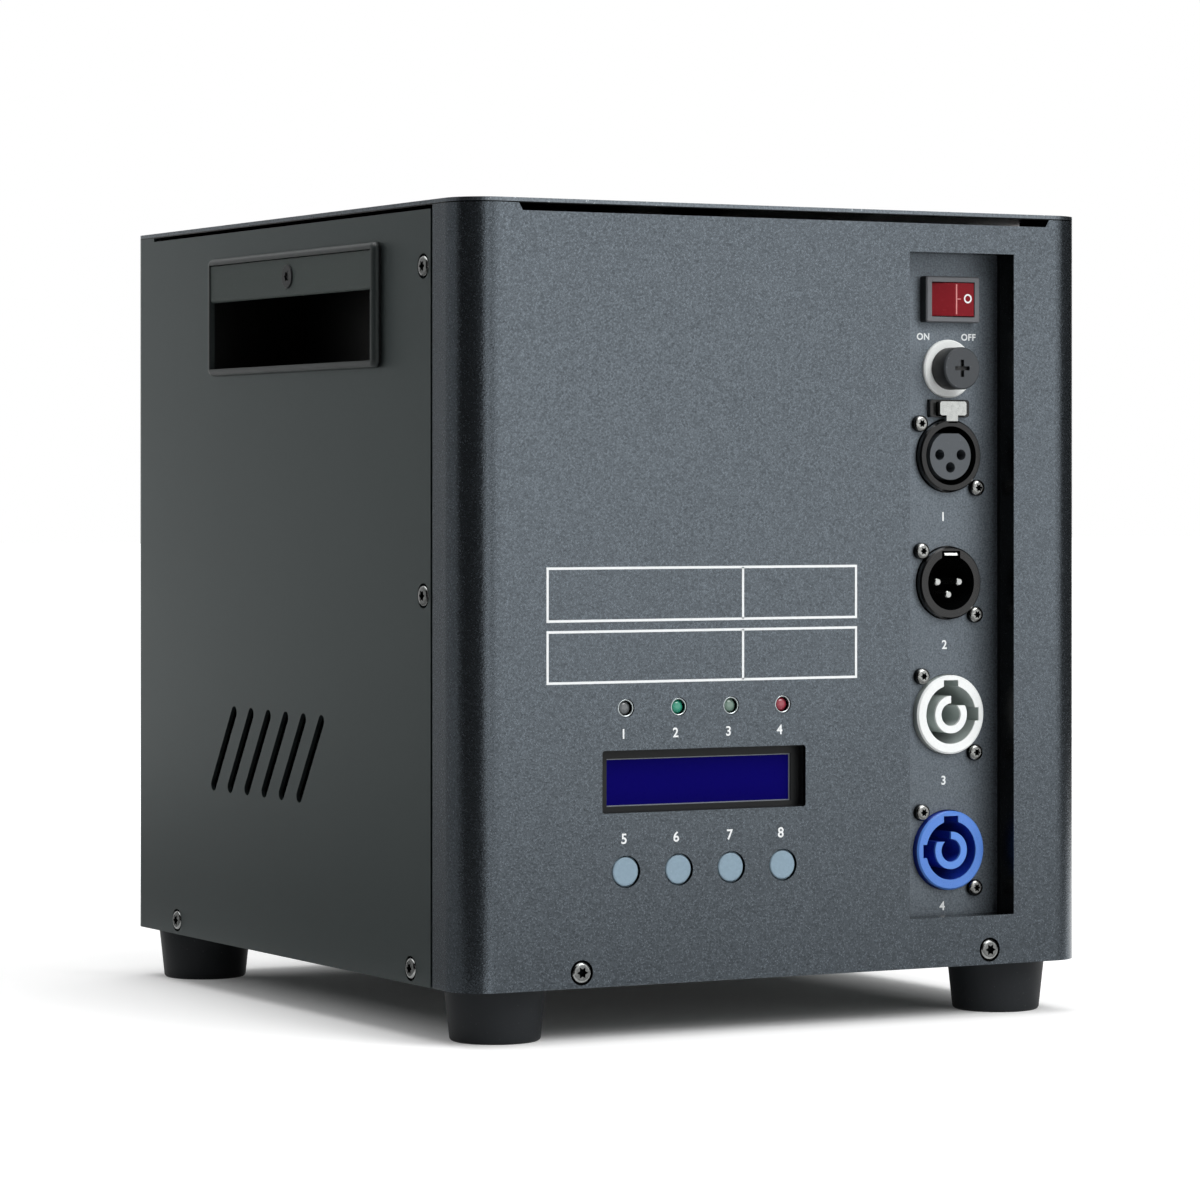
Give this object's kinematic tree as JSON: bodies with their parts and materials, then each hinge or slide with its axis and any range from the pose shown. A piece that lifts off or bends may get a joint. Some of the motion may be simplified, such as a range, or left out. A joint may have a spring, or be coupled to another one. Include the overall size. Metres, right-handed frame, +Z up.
{
  "type": "cold spark machine",
  "caption": "Stage effect box in a folded steel casing: spark outlet and hinged hopper lid on top, display and push buttons in front, recessed column of switch, fuse and sockets, rubber feet.",
  "frame": {"origin": "on the floor under the middle of the casing", "axes": "+X to the right along the front, +Y from the front to the back, +Z up"},
  "size_m": [0.2272, 0.249, 0.2587],
  "materials": {
    "front_coat": "fine textured slate-grey powder coat",
    "case_coat": "dark grey-green satin powder coat",
    "recess_coat": "near-black satin paint",
    "foot_rubber": "matte",
    "screw_steel": "bright zinc",
    "black_screw": "black oxide",
    "handle_plastic": "moulded black",
    "grip_rubber": "matte",
    "switch_grey": "satin grey",
    "switch_red": "translucent red",
    "fuse_white": "white",
    "fuse_grey": "grey",
    "fuse_body": "black",
    "fuse_glass": "glass tube with plated ends",
    "socket_black": "black",
    "insert_grey": "grey",
    "tab_silver": "plated",
    "power_out_white": "white",
    "power_in_blue": "light blue",
    "bezel_black": "black",
    "screen_blue": "lit blue window",
    "lamp_clear": "clear",
    "lamp_green": "tinted",
    "lamp_pale": "pale tint",
    "lamp_red": "tinted",
    "button_blue": "grey-blue",
    "board_green": "solder mask",
    "part_black": "black",
    "inner_steel": "plain",
    "blower_plastic": "heat-proof moulding",
    "motor_steel": "plated can",
    "insulation": "woven mineral wool"
  },
  "bodies": {
    "casing": {"blower_housing": "blower_plastic", "casing_screws": "screw_steel", "control_board": "board_green", "cooling_fan_frame": "part_black", "display_bezel": "bezel_black", "display_screen": "screen_blue", "dmx_in_pins": "tab_silver", "dmx_in_shell": "socket_black", "dmx_out_insert": "insert_grey", "dmx_out_shell": "socket_black", "feed_motor": "motor_steel", "first_lamp": "lamp_clear", "floor_tray": "case_coat", "front_casing": "front_coat", "front_left_foot": "foot_rubber", "front_right_foot": "foot_rubber", "fuse_holder": "fuse_body", "fuse_ring": "fuse_white", "green_lamp": "lamp_green", "grip_screws": "black_screw", "heater_band": "inner_steel", "heating_chamber": "inner_steel", "hopper": "inner_steel", "insulation_jacket": "insulation", "key_switches": "part_black", "left_grip_strip": "grip_rubber", "left_handle_pocket": "handle_plastic", "lid_hinge_leaf": "case_coat", "lid_hinge_pin": "screw_steel", "main_board": "board_green", "nozzle_collar": "inner_steel", "nozzle_tube": "inner_steel", "pale_green_lamp": "lamp_pale", "power_in_core": "power_in_blue", "power_in_shell": "power_in_blue", "power_out_core": "power_out_white", "power_out_shell": "power_out_white", "power_supply": "inner_steel", "rear_left_foot": "foot_rubber", "rear_right_foot": "foot_rubber", "rear_shell": "case_coat", "red_lamp": "lamp_red", "right_grip_strip": "grip_rubber", "right_handle_pocket": "handle_plastic", "socket_plate": "recess_coat", "socket_screws": "screw_steel", "switch_housing": "switch_grey", "top_cover": "case_coat"},
    "power_rocker": {"switch_rocker": "switch_red"},
    "fuse_carrier": {"fuse_link": "fuse_glass"},
    "fuse_cap": {"fuse_cap": "fuse_grey"},
    "release_tab": {"dmx_release_tab": "tab_silver"},
    "menu_key": {"menu_button": "button_blue"},
    "down_key": {"down_button": "button_blue"},
    "up_key": {"up_button": "button_blue"},
    "enter_key": {"enter_button": "button_blue"},
    "lid": {"hopper_lid": "inner_steel"},
    "auger": {"feed_auger": "inner_steel"},
    "air_wheel": {"blower_wheel": "part_black"},
    "fan_rotor": {"cooling_fan_rotor": "part_black"}
  },
  "joints": [
    {"name": "power_switch", "type": "hinge", "parent": "casing", "child": "power_rocker", "pos_m": [0.0658, -0.1137, 0.2256], "axis": [0, 0, 1], "range_deg": [0, 18]},
    {"name": "fuse_pull", "type": "slide", "parent": "casing", "child": "fuse_carrier", "axis": [0, -1, 0], "range_m": [0, 0.036]},
    {"name": "fuse_turn", "type": "hinge", "parent": "fuse_carrier", "child": "fuse_cap", "pos_m": [0.0658, -0.112, 0.2038], "axis": [0, 1, 0], "range_deg": [-60, 0]},
    {"name": "release_push", "type": "slide", "parent": "casing", "child": "release_tab", "axis": [0, 1, 0], "range_m": [0, 0.0016], "stiffness_N_per_m": 1500},
    {"name": "menu_press", "type": "slide", "parent": "casing", "child": "menu_key", "axis": [0, 1, 0], "range_m": [0, 0.0008], "stiffness_N_per_m": 2000},
    {"name": "down_press", "type": "slide", "parent": "casing", "child": "down_key", "axis": [0, 1, 0], "range_m": [0, 0.0008], "stiffness_N_per_m": 2000},
    {"name": "up_press", "type": "slide", "parent": "casing", "child": "up_key", "axis": [0, 1, 0], "range_m": [0, 0.0008], "stiffness_N_per_m": 2000},
    {"name": "enter_press", "type": "slide", "parent": "casing", "child": "enter_key", "axis": [0, 1, 0], "range_m": [0, 0.0008], "stiffness_N_per_m": 2000},
    {"name": "lid_hinge", "type": "hinge", "parent": "casing", "child": "lid", "pos_m": [0, 0.0875, 0.25545], "axis": [-1, 0, 0], "range_deg": [0, 100]},
    {"name": "auger_spin", "type": "hinge", "parent": "casing", "child": "auger", "pos_m": [0, 0.08, 0.168], "axis": [0, 1, 0], "continuous": true},
    {"name": "blower_spin", "type": "hinge", "parent": "casing", "child": "air_wheel", "pos_m": [0, -0.002, 0.051], "axis": [1, 0, 0], "continuous": true},
    {"name": "fan_spin", "type": "hinge", "parent": "casing", "child": "fan_rotor", "pos_m": [-0.05, 0.11, 0.084], "axis": [0, 1, 0], "continuous": true}
  ]
}
